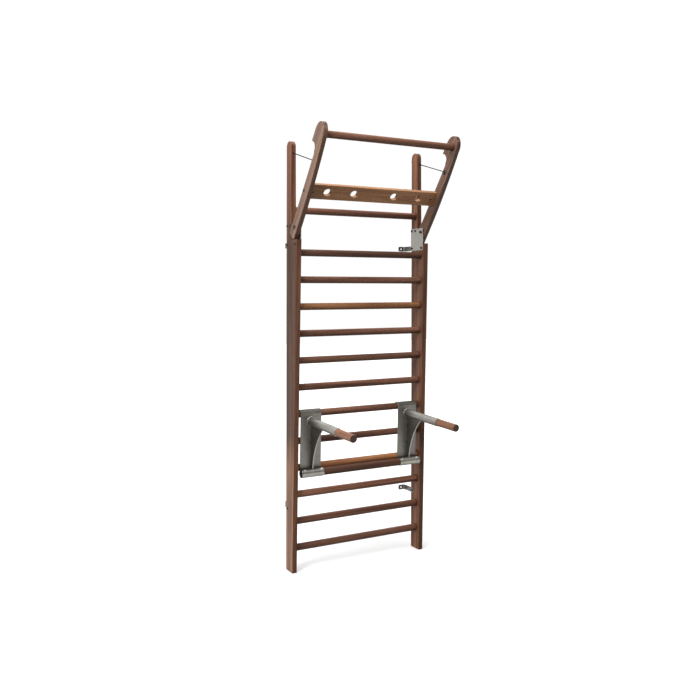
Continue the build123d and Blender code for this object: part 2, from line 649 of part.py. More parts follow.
with BuildPart() as crossbar:
    with BuildSketch(dip_side(-CROSSBAR_END)):
        with Locations((sleeve_y, SLEEVE_Z)):
            Circle(DIP_BAR_RADIUS)
    extrude(amount=2 * CROSSBAR_END)
    chamfer(crossbar.faces().filter_by(Axis.X).edges(), 1.0)
    for side, hand in SIDES:
        for x in SLEEVE_SCREWS_X:
            with BuildSketch(sleeve_screw_plane(side * x)):
                Circle(2.05)
            extrude(amount=TUBE_RADIUS, mode=Mode.SUBTRACT)
save(crossbar, "dip_crossbar")

with BuildPart() as sleeve_screws:
    for side, hand in SIDES:
        for x in SLEEVE_SCREWS_X:
            with BuildSketch(sleeve_screw_plane(side * x).offset(5)):
                Circle(2)
            extrude(amount=TUBE_RADIUS - 4)
            with BuildSketch(sleeve_screw_plane(side * x).offset(TUBE_RADIUS)):
                Circle(4)
            extrude(amount=2.2)
save(sleeve_screws, "sleeve_screws")

with BuildPart() as grip_screws:
    for side, hand in SIDES:
        down = dip_front(side * HANDLE_X, TUBE_END + 25, HANDLE_DROP).rotated((90, 0, 0))
        with BuildSketch(down.offset(5)):
            Circle(1.85)
        extrude(amount=TUBE_RADIUS - 4.9)
        with BuildSketch(down.offset(TUBE_RADIUS + 0.1)):
            Circle(3.6)
        extrude(amount=1.8)
save(grip_screws, "grip_screws")
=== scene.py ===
"""Wooden wall bars with a fold-out chin-up unit and a hook-on dip station: looks around the CAD frame.

Everything is in metres in the CAD frame: +X along the rungs, +Y towards the wall, +Z up, with the
origin in the wall plane at the middle of the four wall holes.
"""

import math

import bmesh
import bpy
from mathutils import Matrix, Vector


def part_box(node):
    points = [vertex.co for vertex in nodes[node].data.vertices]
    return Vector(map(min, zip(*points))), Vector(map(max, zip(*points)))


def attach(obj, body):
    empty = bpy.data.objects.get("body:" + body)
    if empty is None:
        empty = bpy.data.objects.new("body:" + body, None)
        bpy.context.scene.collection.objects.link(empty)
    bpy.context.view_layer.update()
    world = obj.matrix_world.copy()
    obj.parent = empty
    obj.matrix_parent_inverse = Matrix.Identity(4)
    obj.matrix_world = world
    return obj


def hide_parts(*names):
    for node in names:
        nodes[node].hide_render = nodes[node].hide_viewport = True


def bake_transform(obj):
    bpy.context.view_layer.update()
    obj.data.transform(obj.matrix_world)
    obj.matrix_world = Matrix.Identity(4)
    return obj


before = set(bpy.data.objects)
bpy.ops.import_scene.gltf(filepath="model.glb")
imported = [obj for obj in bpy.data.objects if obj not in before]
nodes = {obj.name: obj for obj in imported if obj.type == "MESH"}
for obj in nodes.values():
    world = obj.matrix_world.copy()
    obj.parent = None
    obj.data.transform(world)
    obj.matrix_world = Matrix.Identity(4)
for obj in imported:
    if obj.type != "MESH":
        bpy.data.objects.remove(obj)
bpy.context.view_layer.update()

# ---------------------------------------------------------------- measures shared with part.py
FLOOR_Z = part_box("left_upright")[0].z
OVERALL_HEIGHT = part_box("left_chinup_arm")[1].z - FLOOR_Z
TILT = math.radians(37.5)  # the chin-up unit leans out by this much
LEAN = math.atan(0.0337)  # the line of the rungs leans forward by this much
WIRE_RADIUS = 0.0025
INNER_X = -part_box("left_upright")[1].x  # inner faces of the uprights
ARM_INNER_X = -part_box("left_chinup_arm")[1].x
TUBE_RADIUS = 0.020  # of the handle tubes and of the crossbar sleeves
HOOK_FRONT = -0.0209  # front of a hook plate before the axis of the rung that carries it
HANDLE_UP = -0.036  # axis of a handle tube at its root, up from the axis of that rung
HANDLE_X = 0.2765
SLEEVE_UP = -0.282  # axis of the crossbar, up from the axis of that rung
HOOK_HALF_WIDTH = 0.056
GUSSET_HALF = 0.002  # half the thickness of a gusset
GUSSET_TIP = -0.147  # end of a gusset under the handle tube
GUSSET_FOOT = -0.0452  # front of a gusset where it stands on the sleeve
SIDES = ((-1, "left"), (1, "right"))
UP = (0, 0, 1)
ALONG = (1, 0, 0)
FRONT = (0, -1, 0)
ARM_UP = (0, -math.sin(TILT), math.cos(TILT))
ARM_FRONT = (0, -math.cos(TILT), -math.sin(TILT))
HANDLE = (0, -math.cos(LEAN), -math.sin(LEAN))


def middle(node):
    """Middle of a node's box."""
    low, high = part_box(node)
    return (low + high) / 2


def dip_point(x, rear, up):
    """A point of the dip station: rearward and upward from the axis of the rung it hangs on."""
    carrier = middle("rung_06")
    y = carrier.y + rear * math.cos(LEAN) - up * math.sin(LEAN)
    z = carrier.z + rear * math.sin(LEAN) + up * math.cos(LEAN)
    return Vector((x, y, z))


# ---------------------------------------------------------------- camera
CAMERA_PLACE = (-1.9497, -3.5924, 0.4302)
CAMERA_HEADING = math.radians(-28.72)  # from straight ahead, clockwise seen from above
SENSOR_WIDTH = 36.0
FOCAL_LENGTH = 40.56
PICTURE_SHIFT = -0.0883  # down, as a share of the sensor width


def make_camera():
    """A level camera whose picture is shifted down to take in the feet."""
    data = bpy.data.cameras.new("camera")
    data.sensor_width = SENSOR_WIDTH
    data.lens = FOCAL_LENGTH
    data.shift_y = PICTURE_SHIFT
    data.clip_end = 60.0
    camera = bpy.data.objects.new("camera", data)
    bpy.context.scene.collection.objects.link(camera)
    camera.location = CAMERA_PLACE
    camera.rotation_euler = (math.radians(90), 0, CAMERA_HEADING)
    bpy.context.scene.camera = camera


make_camera()


# ---------------------------------------------------------------- node helpers
class Graph:
    """Small helpers to wire up a node tree."""

    def __init__(self, tree):
        self.tree = tree
        self.nodes = tree.nodes

    def add(self, kind, **settings):
        node = self.nodes.new(kind)
        for key, value in settings.items():
            setattr(node, key, value)
        return node

    def wire(self, source, target):
        if hasattr(source, "is_output"):
            self.tree.links.new(source, target)
        else:
            target.default_value = source

    def math(self, operation, a, b=0.0, clamp=False):
        node = self.add("ShaderNodeMath", operation=operation, use_clamp=clamp)
        self.wire(a, node.inputs[0])
        self.wire(b, node.inputs[1])
        return node.outputs[0]

    def smooth(self, value, low, high, start=0.0, end=1.0):
        """Smooth change from start to end while value goes from low to high."""
        node = self.add("ShaderNodeMapRange", interpolation_type="SMOOTHSTEP")
        for socket, number in zip(node.inputs, (value, low, high, start, end)):
            self.wire(number, socket)
        return node.outputs[0]

    def split(self, vector):
        node = self.add("ShaderNodeSeparateXYZ")
        self.wire(vector, node.inputs[0])
        return node.outputs


class Shader(Graph):
    """One procedural material."""

    def __init__(self, name):
        self.material = bpy.data.materials.new(name)
        self.material.use_nodes = True
        super().__init__(self.material.node_tree)
        self.bsdf = self.nodes["Principled BSDF"]
        self.coordinates = self.add("ShaderNodeTexCoord").outputs["Object"]

    def mapping(self, scale=(1, 1, 1), location=(0, 0, 0), rotation=(0, 0, 0), vector=None):
        node = self.add("ShaderNodeMapping")
        self.wire(vector or self.coordinates, node.inputs["Vector"])
        node.inputs["Location"].default_value = location
        node.inputs["Rotation"].default_value = rotation
        node.inputs["Scale"].default_value = scale
        return node.outputs[0]

    def noise(self, vector, scale, detail=4.0, rough=0.55, distortion=0.0):
        node = self.add("ShaderNodeTexNoise")
        self.wire(vector, node.inputs["Vector"])
        node.inputs["Scale"].default_value = scale
        node.inputs["Detail"].default_value = detail
        node.inputs["Roughness"].default_value = rough
        node.inputs["Distortion"].default_value = distortion
        return node.outputs["Fac"]

    def ramp(self, value, stops):
        node = self.add("ShaderNodeValToRGB")
        self.wire(value, node.inputs[0])
        elements = node.color_ramp.elements
        while len(elements) < len(stops):
            elements.new(0.5)
        for element, (place, colour) in zip(elements, stops):
            element.position = place
            if not hasattr(colour, "__len__"):
                colour = (colour, colour, colour)
            element.color = (*colour, 1)
        return node.outputs["Color"]

    def mix(self, factor, a, b, blend="MIX"):
        node = self.add("ShaderNodeMix", data_type="RGBA", blend_type=blend, clamp_factor=True)
        self.wire(factor, node.inputs[0])
        for value, socket in ((a, node.inputs[6]), (b, node.inputs[7])):
            if isinstance(value, tuple):
                value = (*value, 1) if len(value) == 3 else value
            self.wire(value, socket)
        return node.outputs[2]

    def tint(self, where, colour, factor):
        """The colour, multiplied by a factor where the mask is 1."""
        return self.mix(where, colour, self.mix(1.0, colour, factor, "MULTIPLY"))

    def normal(self):
        return self.add("ShaderNodeNewGeometry").outputs["Normal"]

    def facing(self, direction):
        """How squarely the surface faces along a direction, either way: 0 to 1."""
        node = self.add("ShaderNodeVectorMath", operation="DOT_PRODUCT")
        self.wire(self.normal(), node.inputs[0])
        node.inputs[1].default_value = Vector(direction).normalized()
        return self.math("ABSOLUTE", node.outputs["Value"])

    def bump(self, height, strength, distance):
        node = self.add("ShaderNodeBump")
        node.inputs["Strength"].default_value = strength
        node.inputs["Distance"].default_value = distance
        self.wire(height, node.inputs["Height"])
        self.wire(node.outputs[0], self.bsdf.inputs["Normal"])

    def finish(self, colour, rough, metallic=0.0):
        self.wire(colour, self.bsdf.inputs["Base Color"])
        self.wire(rough, self.bsdf.inputs["Roughness"])
        self.bsdf.inputs["Metallic"].default_value = metallic
        return self.material


def srgb(red, green, blue):
    """Linear colour from 0-255 display values."""
    values = []
    for value in (red, green, blue):
        value /= 255
        values.append(value / 12.92 if value <= 0.04045 else ((value + 0.055) / 1.055) ** 2.4)
    return tuple(values)


def turn_to(grain):
    """Euler angles for a mapping that brings the grain direction to Z."""
    return Vector(grain).rotation_difference(Vector((0, 0, 1))).to_euler()


# ---------------------------------------------------------------- wood
WOOD_TONES = {  # dark streak, body, light streak and end grain, then the shine of the oil
    "plank": (srgb(78, 46, 31), srgb(120, 79, 56), srgb(154, 108, 79), srgb(66, 42, 31), 0.18),
    "arm": (srgb(86, 62, 50), srgb(132, 102, 85), srgb(164, 133, 113), srgb(70, 46, 35), 0.26),
    "rung": (srgb(77, 47, 36), srgb(122, 83, 65), srgb(152, 108, 86), srgb(46, 30, 25), 0.18),
    "warm": (srgb(100, 58, 34), srgb(154, 101, 65), srgb(188, 131, 89), srgb(52, 34, 27), 0.20),
    "board": (srgb(150, 99, 62), srgb(212, 154, 106), srgb(240, 188, 140), srgb(110, 76, 52), 0.32),
    "grip": (srgb(106, 69, 49), srgb(148, 105, 80), srgb(174, 131, 103), srgb(84, 60, 50), 0.25),
}


# marks in a metre of wood, across the grain and along it
BAND_SCALE = (38, 38, 1.4)
FIBRE_SCALE = (420, 420, 9)
PORE_SCALE = (900, 900, 30)
DRIFT_SCALE = (6, 6, 0.9)
RING_SCALE = (190, 190, 30)
GRAIN_RELIEF = 0.0004  # depth of the pores and fibres


def wood(name, grain, tone, seed, depth=1.0, face_light_and_shade=None, edge=None):
    """Oiled dark wood: long grain along one direction, pores, slow colour drift and darker end grain.

    depth multiplies the colour. face_light_and_shade lists (height, factor) of painted light and shade
    for the broad faces, which look along X. edge is a direction and the colour factor of painted shade
    on the faces that look that way. A factor is a number or a colour.
    """
    s = Shader(name)
    dark, body, light, end_grain, shine = WOOD_TONES[tone]
    shift = (seed * 1.37 % 5, seed * 2.11 % 5, seed * 0.73 % 5)  # another cut of the tree for each seed
    along = s.mapping(location=shift, rotation=turn_to(grain))
    bands = s.noise(s.mapping(BAND_SCALE, vector=along), 1.0, 5.0, 0.6, 0.6)
    fibres = s.noise(s.mapping(FIBRE_SCALE, vector=along), 1.0, 3.0, 0.6)
    pores = s.noise(s.mapping(PORE_SCALE, vector=along), 1.0, 2.0, 0.5)
    drift = s.noise(s.mapping(DRIFT_SCALE, vector=along), 1.0, 2.0, 0.5)
    colour = s.ramp(bands, ((0.30, dark), (0.52, body), (0.74, light)))
    colour = s.mix(0.45, colour, s.ramp(fibres, ((0.36, 0.62), (0.60, 1.0))), "MULTIPLY")
    colour = s.mix(0.45, colour, s.ramp(pores, ((0.33, 0.50), (0.42, 1.0))), "MULTIPLY")
    colour = s.mix(0.8, colour, s.ramp(drift, ((0.30, 0.80), (0.70, 1.18))), "MULTIPLY")
    if depth != 1.0:
        colour = s.mix(1.0, colour, (depth, depth, depth), "MULTIPLY")
    # painted light and shade: the broad faces are made lighter or darker by height
    if face_light_and_shade is not None:
        height = s.math("DIVIDE", s.math("SUBTRACT", s.split(s.coordinates)["Z"], FLOOR_Z), OVERALL_HEIGHT)
        stops = [((z - FLOOR_Z) / OVERALL_HEIGHT, factor) for z, factor in face_light_and_shade]
        colour = s.tint(s.smooth(s.facing(ALONG), 0.5, 0.9), colour, s.ramp(height, stops))
    # painted shade: the faces that look one way are darkened
    if edge is not None:
        direction, factor = edge
        colour = s.tint(s.smooth(s.facing(direction), 0.5, 0.9), colour, factor)
    end = s.smooth(s.facing(grain), 0.75, 0.93)
    rings = s.noise(s.mapping(RING_SCALE, vector=along), 1.0, 3.0, 0.6)
    cut = s.mix(s.ramp(rings, ((0.35, 0.0), (0.65, 1.0))), tuple(0.7 * c for c in end_grain), end_grain)
    colour = s.mix(end, colour, cut)
    rough = s.ramp(fibres, ((0.3, 0.60), (0.7, 0.44)))
    relief = s.math("ADD", s.math("MULTIPLY", fibres, 0.6), s.math("MULTIPLY", pores, 0.4))
    s.bump(relief, 0.35, GRAIN_RELIEF)
    s.bsdf.inputs["Specular IOR Level"].default_value = shine
    return s.finish(colour, rough)


# ---------------------------------------------------------------- metal
ROOT_SHADE_TINT = (0.40, 0.40, 0.41)  # painted shade: what is left of a handle tube's colour beside its root
ROOT_SHADE_LENGTH = 0.15  # length of the painted shade along a handle tube, from its weld
BRUSH_SCALE = (1400, 1400, 16)  # scratches in a metre, across the brushing and along it


def metal(name, colour, dark, rough, grain=None, mottle=0.5, metallic=1.0, cut_edge=None, underside_shade=1.0,
          root_shade=None):
    """Plated, brushed or blackened metal with soft mottling, fine scratches and uneven gloss.

    grain is the way the metal is brushed. cut_edge is the colour of the edges of a sheet whose
    faces look along X. underside_shade multiplies the colour of what faces the floor: painted shade.
    root_shade is the Y of a weld and the Y where the painted shade beside that weld ends.
    wheel and the duster do not reach. heat is the Y of a weld and the Y where its dark tint ends.
    """
    s = Shader(name)
    cloud = s.noise(s.mapping(), 9, 3.0, 0.5)
    speckle = s.noise(s.mapping(), 60, 5.0, 0.6)
    spots = s.math("MULTIPLY", s.smooth(speckle, 0.40, 0.62), mottle)
    tone = s.mix(spots, colour, dark)
    tone = s.mix(0.35, tone, s.ramp(cloud, ((0.3, 0.75), (0.7, 1.15))), "MULTIPLY")
    if cut_edge is not None:
        edge = s.smooth(s.facing(ALONG), 0.3, 0.6, start=1.0, end=0.0)
        tone = s.mix(edge, tone, cut_edge)
    # painted shade: the colour is darkened where the surface faces down
    if underside_shade != 1.0:
        facing_down_shade = s.smooth(s.split(s.normal())["Z"], -0.4, 0.9, start=1.0, end=0.0)
        tone = s.tint(facing_down_shade, tone, (underside_shade, underside_shade, underside_shade))
    # painted shade: a handle tube darkens towards its root at the hook plate
    if root_shade is not None:
        weld_y, unshaded_y = root_shade
        tone = s.tint(s.smooth(s.split(s.coordinates)["Y"], unshaded_y, weld_y), tone, ROOT_SHADE_TINT)
    if grain is not None:
        brushed = s.mapping(rotation=turn_to(grain))
        lines = s.noise(s.mapping(BRUSH_SCALE, vector=brushed), 1.0, 3.0, 0.6)
    else:
        lines = s.noise(s.mapping(), 900, 2.0, 0.5)
    gloss = s.math("ADD", s.math("MULTIPLY", lines, 0.16), rough - 0.08)
    gloss = s.math("ADD", gloss, s.math("MULTIPLY", s.math("SUBTRACT", cloud, 0.5), 0.22), clamp=True)
    s.bump(lines, 0.18, 0.00015)
    return s.finish(tone, gloss, metallic)


def rubber(name, colour):
    """Dull black plastic with a fine moulded texture."""
    s = Shader(name)
    grains = s.noise(s.mapping(), 1600, 2.0, 0.5)
    tone = s.mix(grains, tuple(0.7 * c for c in colour), colour)
    s.bump(grains, 0.25, 0.0001)
    return s.finish(tone, s.ramp(grains, ((0.3, 0.5), (0.7, 0.65))))


# ---------------------------------------------------------------- materials of the CAD nodes
RUNG_LOOKS = (  # tone and colour factor of each rung from the floor up
    ("rung", 1.00), ("rung", 1.08), ("rung", 1.95), ("warm", 1.35), ("rung", 0.95), ("rung", 1.08),
    ("rung", 1.00), ("rung", 0.80), ("rung", 1.10), ("warm", 0.80), ("rung", 1.12), ("rung", 0.62),
    ("rung", 1.06),
)
# painted light and shade: colour factors of the broad faces of the uprights and arms by height, and
# painted shade on their front edges
UPRIGHT_FACE_LIGHT_AND_SHADE = {
    "left": ((-0.94, (1.6, 2.0, 2.35)), (-0.45, (1.5, 1.85, 2.1)), (-0.28, 0.40), (0.62, 0.44),
             (0.80, 1.15), (1.1, 1.40)),
    "right": ((-0.94, 1.6), (-0.45, 1.35), (-0.28, 0.78), (0.62, 0.80), (0.80, 1.12), (1.1, 1.15)),
}
UPRIGHT_EDGE_SHADE = {"left": (0.88, 0.86, 0.88), "right": (0.86, 0.84, 0.86)}
ARM_FACE_LIGHT_AND_SHADE = {
    "left": ((0.66, 0.85), (0.80, 0.76), (1.17, 0.80)),
    "right": ((0.66, (0.62, 0.52, 0.45)), (0.80, (0.57, 0.48, 0.42)), (1.17, (0.66, 0.58, 0.53))),
}
ARM_EDGE_SHADE = {"left": (0.74, 0.60, 0.49), "right": (0.48, 0.38, 0.31)}
BOARD_EDGE_SHADE = (0.60, 0.60, 0.60)  # painted shade on the long edges of the drilled board
GRIP_DEPTHS = {"left": 1.0, "right": 0.8}


def dress(node, material):
    """Give a CAD node one material."""
    slots = nodes[node].data.materials
    slots.clear()
    slots.append(material)


def dress_wood():
    """Wood for every bar, plank and grip, each with its own cut and tone."""
    for number, (tone, depth) in enumerate(RUNG_LOOKS, start=1):
        dress(f"rung_{number:02d}", wood(f"wood_rung_{number:02d}", ALONG, tone, number, depth))
    dress("chinup_bar", wood("wood_chinup_bar", ALONG, "rung", seed=17, depth=1.1))
    dress("drilled_board", wood("wood_drilled_board", ALONG, "board", seed=21, edge=(ARM_UP, BOARD_EDGE_SHADE)))
    dress("dip_crossbar", wood("wood_dip_crossbar", ALONG, "rung", seed=24, depth=0.64))
    for number, (_, hand) in enumerate(SIDES):
        dress(f"{hand}_upright", wood(f"wood_{hand}_upright", UP, "plank", seed=31 + number,
                                      face_light_and_shade=UPRIGHT_FACE_LIGHT_AND_SHADE[hand], edge=(FRONT, UPRIGHT_EDGE_SHADE[hand])))
    for number, (_, hand) in enumerate(SIDES):
        dress(f"{hand}_chinup_arm", wood(f"wood_{hand}_arm", ARM_UP, "arm", seed=41 + number,
                                         face_light_and_shade=ARM_FACE_LIGHT_AND_SHADE[hand], edge=(ARM_FRONT, ARM_EDGE_SHADE[hand])))
        dress(f"{hand}_grip", wood(f"wood_{hand}_grip", HANDLE, "grip", seed=51 + number,
                                   depth=GRIP_DEPTHS[hand]))


def dress_metal():
    """Steel for the fittings and fasteners, plastic for the bushes of the pivots."""
    root_y = dip_point(0, HOOK_FRONT, HANDLE_UP).y
    # painted shade: the tube is darkened underneath and towards its root, the sleeve underneath
    steel = metal("steel_tube", srgb(188, 185, 178), srgb(156, 153, 146), 0.38, HANDLE, metallic=0.75,
                  underside_shade=0.42, root_shade=(root_y, root_y - ROOT_SHADE_LENGTH))
    bright = metal("steel_bright", srgb(250, 250, 248), srgb(225, 225, 220), 0.35, metallic=0.6)
    black = metal("steel_black", srgb(24, 21, 19), srgb(12, 11, 10), 0.55, metallic=0.5)
    plate = metal("steel_hinge_plate", srgb(160, 157, 150), srgb(140, 137, 130), 0.42, UP, 0.3)
    bracket = metal("steel_wall_bracket", srgb(122, 120, 117), srgb(86, 84, 82), 0.45)
    hook = metal("steel_hook_plate", srgb(124, 121, 114), srgb(102, 99, 93), 0.48, UP, 0.3)
    # the gusset's faces are darker than the hook plate's steel: painted shade under the handle tube
    gusset = metal("steel_gusset_painted_shade", srgb(96, 94, 86), srgb(74, 72, 66), 0.48, UP, 0.3,
                   cut_edge=srgb(158, 157, 151))
    sleeve = metal("steel_sleeve", srgb(180, 178, 168), srgb(146, 144, 135), 0.38, ALONG, underside_shade=0.6)
    barrel = metal("barrel_dark", srgb(52, 50, 48), srgb(26, 25, 24), 0.4, metallic=0.7)
    washer = metal("steel_washer", srgb(176, 172, 160), srgb(132, 128, 118), 0.38)
    bush = rubber("bush_plastic", srgb(34, 34, 34))
    for _, hand in SIDES:
        dress(f"{hand}_hinge_plate", plate)
        dress(f"{hand}_hook_plate", hook)
        dress(f"{hand}_gusset", gusset)
        dress(f"{hand}_handle_tube", steel)
        dress(f"{hand}_crossbar_sleeve", sleeve)
        dress(f"{hand}_wire_anchor", barrel)
        for level in ("lower", "upper"):
            dress(f"{hand}_{level}_wall_bracket", bracket)
    for node in ("frame_bolts", "frame_nuts", "pivot_bolts", "pivot_nuts", "board_bolts",
                 "board_barrel_nuts", "bush_keeper_screws"):
        dress(node, black)
    for node in ("sleeve_screws", "grip_screws"):
        dress(node, bright)
    for node in ("wire_guide_bushes", "wire_ferrules"):
        dress(node, barrel)
    dress("pivot_washers", washer)
    dress("pivot_bushes", bush)


dress_wood()
dress_metal()


# ---------------------------------------------------------------- mesh helpers
def across(direction):
    """Two unit vectors square to a direction and to each other."""
    first = direction.cross(Vector((1, 0, 0)))
    if first.length < 0.1:
        first = direction.cross(Vector((0, 1, 0)))
    first.normalize()
    return first, direction.cross(first).normalized()


TUBE_CORNERS = 24


def tube(shape, path, profile, closed=False):
    """Sweep a ring along a path. profile(i, angle) gives the radius at point i of the path."""
    rings = []
    last = len(path) - 1
    for i, point in enumerate(path):
        before = path[i - 1] if i > 0 or closed else path[0]
        after = path[(i + 1) % len(path)] if i < last or closed else path[last]
        first, second = across((after - before).normalized())
        ring = []
        for k in range(TUBE_CORNERS):
            angle = 2 * math.pi * k / TUBE_CORNERS
            outward = math.cos(angle) * first + math.sin(angle) * second
            ring.append(shape.verts.new(point + profile(i, angle) * outward))
        rings.append(ring)
    pairs = list(zip(rings, rings[1:]))
    if closed:
        pairs.append((rings[-1], rings[0]))
    for one, two in pairs:
        for k in range(TUBE_CORNERS):
            j = (k + 1) % TUBE_CORNERS
            shape.faces.new((one[k], one[j], two[j], two[k]))
    if not closed:
        shape.faces.new(list(reversed(rings[0])))
        shape.faces.new(rings[-1])


def piece(name, shape, material):
    """Turn a bmesh into a smooth object."""
    bmesh.ops.recalc_face_normals(shape, faces=shape.faces)
    mesh = bpy.data.meshes.new(name)
    shape.to_mesh(mesh)
    shape.free()
    mesh.shade_smooth()
    mesh.materials.append(material)
    thing = bpy.data.objects.new(name, mesh)
    bpy.context.scene.collection.objects.link(thing)
    return thing


def riding_piece(name, shape, material, body):
    """Turn a bmesh into a piece that rides on a body."""
    thing = piece(name, shape, material)
    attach(thing, body)


def line_points(start, end, step):
    """Evenly spaced points on a straight line, about a step apart."""
    count = max(2, round((end - start).length / step))
    return [start.lerp(end, i / count) for i in range(count + 1)]


# ---------------------------------------------------------------- stay wires
STRANDS = 6
LAY_LENGTH = 0.022  # length of one full turn of a strand
STRAND_RELIEF = 0.10  # depth of the grooves between strands, as a share of the radius
ROUTE_STEPS = 52  # points of a route in each of its spans


def wire_ends(node):
    """Rear and front end of a straight wire of known radius, from its box."""
    low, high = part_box(node)
    slope = 0.0
    for _ in range(4):  # the slope settles in a few rounds
        run = high.y - low.y - 2 * WIRE_RADIUS * math.sin(slope)
        rise = high.z - low.z - 2 * WIRE_RADIUS * math.cos(slope)
        slope = math.atan2(rise, run)
    inset = Vector((0, math.sin(slope), math.cos(slope))) * WIRE_RADIUS
    x = (low.x + high.x) / 2
    return Vector((x, high.y, high.z)) - inset, Vector((x, low.y, low.z)) + inset


def route_points(points, steps):
    """Points along the smooth line of a route."""
    curve = bpy.data.curves.new("route", "CURVE")
    curve.dimensions = "3D"
    curve.resolution_u = steps
    spline = curve.splines.new("NURBS")
    spline.points.add(len(points) - 1)
    for knot, point in zip(spline.points, points):
        knot.co = (*point, 1)
    spline.use_endpoint_u = True
    spline.order_u = 3
    holder = bpy.data.objects.new("route", curve)
    mesh = bpy.data.meshes.new_from_object(holder)
    places = [vertex.co.copy() for vertex in mesh.vertices]
    bpy.data.objects.remove(holder)
    bpy.data.meshes.remove(mesh)
    return places


def wire_material():
    """Plated wire rope, grey in the lays and dark between them."""
    s = Shader("steel_stay_wire")
    fleck = s.noise(s.mapping(), 1400, 3.0, 0.6)
    tone = s.mix(s.ramp(fleck, ((0.35, 0.0), (0.65, 1.0))), srgb(12, 13, 14), srgb(34, 36, 38))
    s.bump(fleck, 0.3, 0.0001)
    return s.finish(tone, s.ramp(fleck, ((0.3, 0.6), (0.7, 0.45))), 0.6)


def make_wires():
    """Wire rope of six strands laid round a core, straight from the ferrule to the barrel in the arm."""
    material = wire_material()
    for _, hand in SIDES:
        rear, front = wire_ends(f"{hand}_stay_wire")
        path = route_points([rear.lerp(front, i / 4) for i in range(5)], ROUTE_STEPS)

        def radius(i, angle):
            turn = 2 * math.pi * (path[i] - rear).length / LAY_LENGTH
            crown = abs(math.cos(STRANDS / 2 * (angle - turn)))
            return WIRE_RADIUS * (1 - STRAND_RELIEF + STRAND_RELIEF * crown)

        shape = bmesh.new()
        tube(shape, path, radius)
        name = f"{hand}_wire_rope"
        rope = piece(name, shape, material)
        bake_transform(rope)
        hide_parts(f"{hand}_stay_wire")


make_wires()


# ---------------------------------------------------------------- welds
BEAD_STEP = 0.00052  # from point to point along a bead
RIPPLE_POINTS = 5  # points in one ripple of a bead
# the glue ring is drawn wider than a real glue line: painted contact shade round each bar
BEAD_RADIUS = {"tube root": 0.0020, "gusset to plate": 0.0013, "gusset to tube": 0.0014,
               "gusset to sleeve": 0.0026, "sleeve to plate": 0.0020, "glue and shade": 0.0022}


def weld(shape, path, radius, closed=False):
    """A rippled bead, half buried in what it joins."""

    def profile(i, angle):
        return radius * (1 + 0.14 * math.sin(2 * math.pi * i / RIPPLE_POINTS) + 0.05 * math.sin(1.7 * i))

    tube(shape, path, profile, closed)


def seam(shape, start, end, joint):
    """A straight bead between two points of the dip station, each given as (x, rear, up)."""
    weld(shape, line_points(dip_point(*start), dip_point(*end), BEAD_STEP), BEAD_RADIUS[joint])


def tube_root_weld(x):
    """The bead round the root of the handle tube."""
    shape = bmesh.new()
    proud = 0.0008  # the line of the bead stands this far off the tube and the plate
    reach = TUBE_RADIUS + proud
    count = round(2 * math.pi * TUBE_RADIUS / BEAD_STEP / RIPPLE_POINTS) * RIPPLE_POINTS
    ring = []
    for i in range(count):
        angle = 2 * math.pi * i / count
        ring.append(dip_point(x + reach * math.cos(angle), HOOK_FRONT - proud,
                              HANDLE_UP + reach * math.sin(angle)))
    weld(shape, ring, BEAD_RADIUS["tube root"], closed=True)
    return shape


def seam_welds(x):
    """The beads along the gusset and between the crossbar sleeve and the hook plate."""
    shape = bmesh.new()
    tube_low = HANDLE_UP - TUBE_RADIUS
    sleeve_top = SLEEVE_UP + TUBE_RADIUS
    on_plate = HOOK_FRONT - 0.0006
    under_tube = tube_low - 0.0004
    on_sleeve = sleeve_top + 0.0002
    in_groove = HOOK_FRONT - 0.0016
    end_gap = 0.006  # the bead under the tube stops short of both ends of the gusset
    half_foot = 0.0045  # the bead across the gusset's foot reaches a little past both faces
    from_touch = 0.0085  # above and below the line where the sleeve touches the plate
    half_length = HOOK_HALF_WIDTH - 0.004
    for edge in (-1, 1):
        beside = x + edge * (GUSSET_HALF + 0.0004)
        seam(shape, (beside, on_plate, sleeve_top + 0.003), (beside, on_plate, tube_low - 0.004),
             "gusset to plate")
        seam(shape, (beside, HOOK_FRONT - end_gap, under_tube), (beside, GUSSET_TIP + end_gap, under_tube),
             "gusset to tube")
    seam(shape, (x - half_foot, GUSSET_FOOT, on_sleeve), (x + half_foot, GUSSET_FOOT, on_sleeve),
         "gusset to sleeve")
    for above in (1, -1):
        up = SLEEVE_UP + above * from_touch
        seam(shape, (x - half_length, in_groove, up), (x + half_length, in_groove, up), "sleeve to plate")
    return shape


def make_welds():
    """The welds of both brackets of the dip station: a clean bead round each tube, dull ones elsewhere."""
    # the bead round each tube is darkened where it faces down: painted shade
    clean = metal("steel_tube_weld", srgb(246, 245, 240), srgb(190, 188, 182), 0.32, mottle=0.4,
                  metallic=0.7, underside_shade=0.12)
    dull = metal("steel_seam_weld", srgb(104, 102, 96), srgb(70, 68, 64), 0.5, mottle=0.8)
    for side, hand in SIDES:
        x = side * HANDLE_X
        riding_piece(f"{hand}_tube_weld", tube_root_weld(x), clean, "dip_station")
        riding_piece(f"{hand}_seam_welds", seam_welds(x), dull, "dip_station")


make_welds()


# ---------------------------------------------------------------- glue lines, drawn wide as painted contact shade
GLUED_BARS = {  # body: half the distance between its timbers, and the bars glued into them
    "ladder": (INNER_X, [f"rung_{number:02d}" for number in range(1, len(RUNG_LOOKS) + 1)]),
    "chinup_unit": (ARM_INNER_X, ["chinup_bar"]),
}
GLUE_AND_SHADE_RING_POINTS = 48
GLUE_AND_SHADE_SHINE = 0.12


